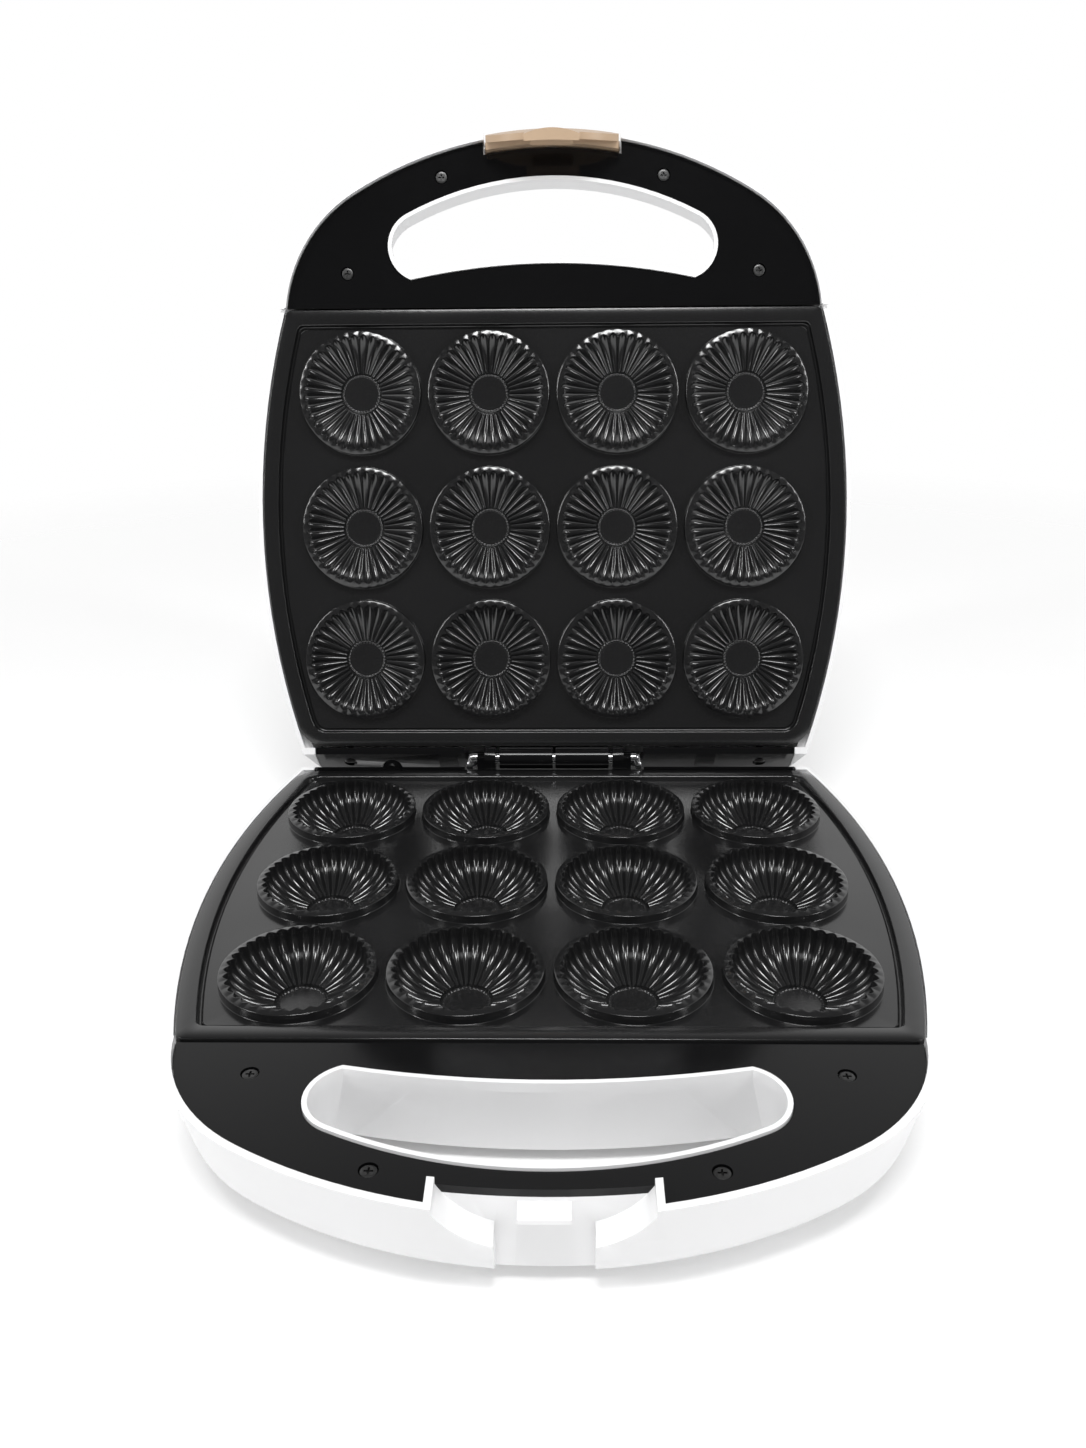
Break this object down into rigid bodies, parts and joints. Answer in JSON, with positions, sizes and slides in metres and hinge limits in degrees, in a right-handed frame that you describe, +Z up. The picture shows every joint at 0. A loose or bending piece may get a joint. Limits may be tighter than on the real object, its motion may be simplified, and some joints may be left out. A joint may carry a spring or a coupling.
{
  "type": "maamoul maker",
  "caption": "Open maamoul maker: hinged white halves with black cast plates of round fluted cups, a through handle opening in each half and a swinging front latch.",
  "frame": {"origin": "centre of the overall box, on the surface that the feet stand on, with the lid open", "axes": "+X to the right seen from the handle side, +Y from the handle towards the hinge, +Z up"},
  "size_m": [0.2462, 0.3514, 0.2799],
  "materials": {
    "white_plastic": "smooth moulded, satin gloss",
    "black_plastic": "smooth moulded, glossy",
    "coated_casting": "black non-stick coating, satin",
    "black_steel": "blackened",
    "bright_steel": "plain bright",
    "heater_sheath": "dull sheath",
    "shield_sheet": "plain sheet",
    "ceramic_body": "matt",
    "fuse_sleeve": "woven sleeve",
    "natural_plastic": "natural",
    "black_bush": "matt",
    "foot_rubber": "matt",
    "red_lens": "clear tinted",
    "green_lens": "clear tinted",
    "beige_plastic": "smooth moulded, satin gloss"
  },
  "bodies": {
    "base": {"base_shell": "white_plastic", "base_handle_panel": "black_plastic", "base_plate": "coated_casting", "base_panel_screws": "black_steel", "base_rear_frame": "black_plastic", "base_frame_screws": "black_steel", "hinge_pin": "bright_steel", "base_heater": "heater_sheath", "base_heat_shield": "shield_sheet", "base_plate_screws": "bright_steel", "thermostat": "ceramic_body", "thermal_fuse": "fuse_sleeve", "terminal_block": "natural_plastic", "cord_gland": "black_bush", "foot_front_left": "foot_rubber", "foot_front_right": "foot_rubber", "foot_rear_left": "foot_rubber", "foot_rear_right": "foot_rubber"},
    "lid": {"lid_shell": "white_plastic", "lid_handle_panel": "black_plastic", "lid_plate": "coated_casting", "lid_panel_screws": "black_steel", "lid_rear_frame": "black_plastic", "lid_frame_screws": "black_steel", "lid_heater": "heater_sheath", "lid_heat_shield": "shield_sheet", "lid_shield_screws": "bright_steel", "lid_limiter": "ceramic_body", "power_lens": "red_lens", "ready_lens": "green_lens", "lamp_holder": "natural_plastic", "latch_pegs": "bright_steel"},
    "latch": {"latch": "beige_plastic"}
  },
  "joints": [
    {"name": "lid_hinge", "type": "hinge", "parent": "base", "child": "lid", "pos_m": [0, 0.07745, 0.0361], "axis": [1, 0, 0], "range_deg": [0, 107]},
    {"name": "latch_hinge", "type": "hinge", "parent": "lid", "child": "latch", "pos_m": [0, 0.15697, 0.27259], "axis": [-1, 0, 0], "range_deg": [0, 35]}
  ]
}
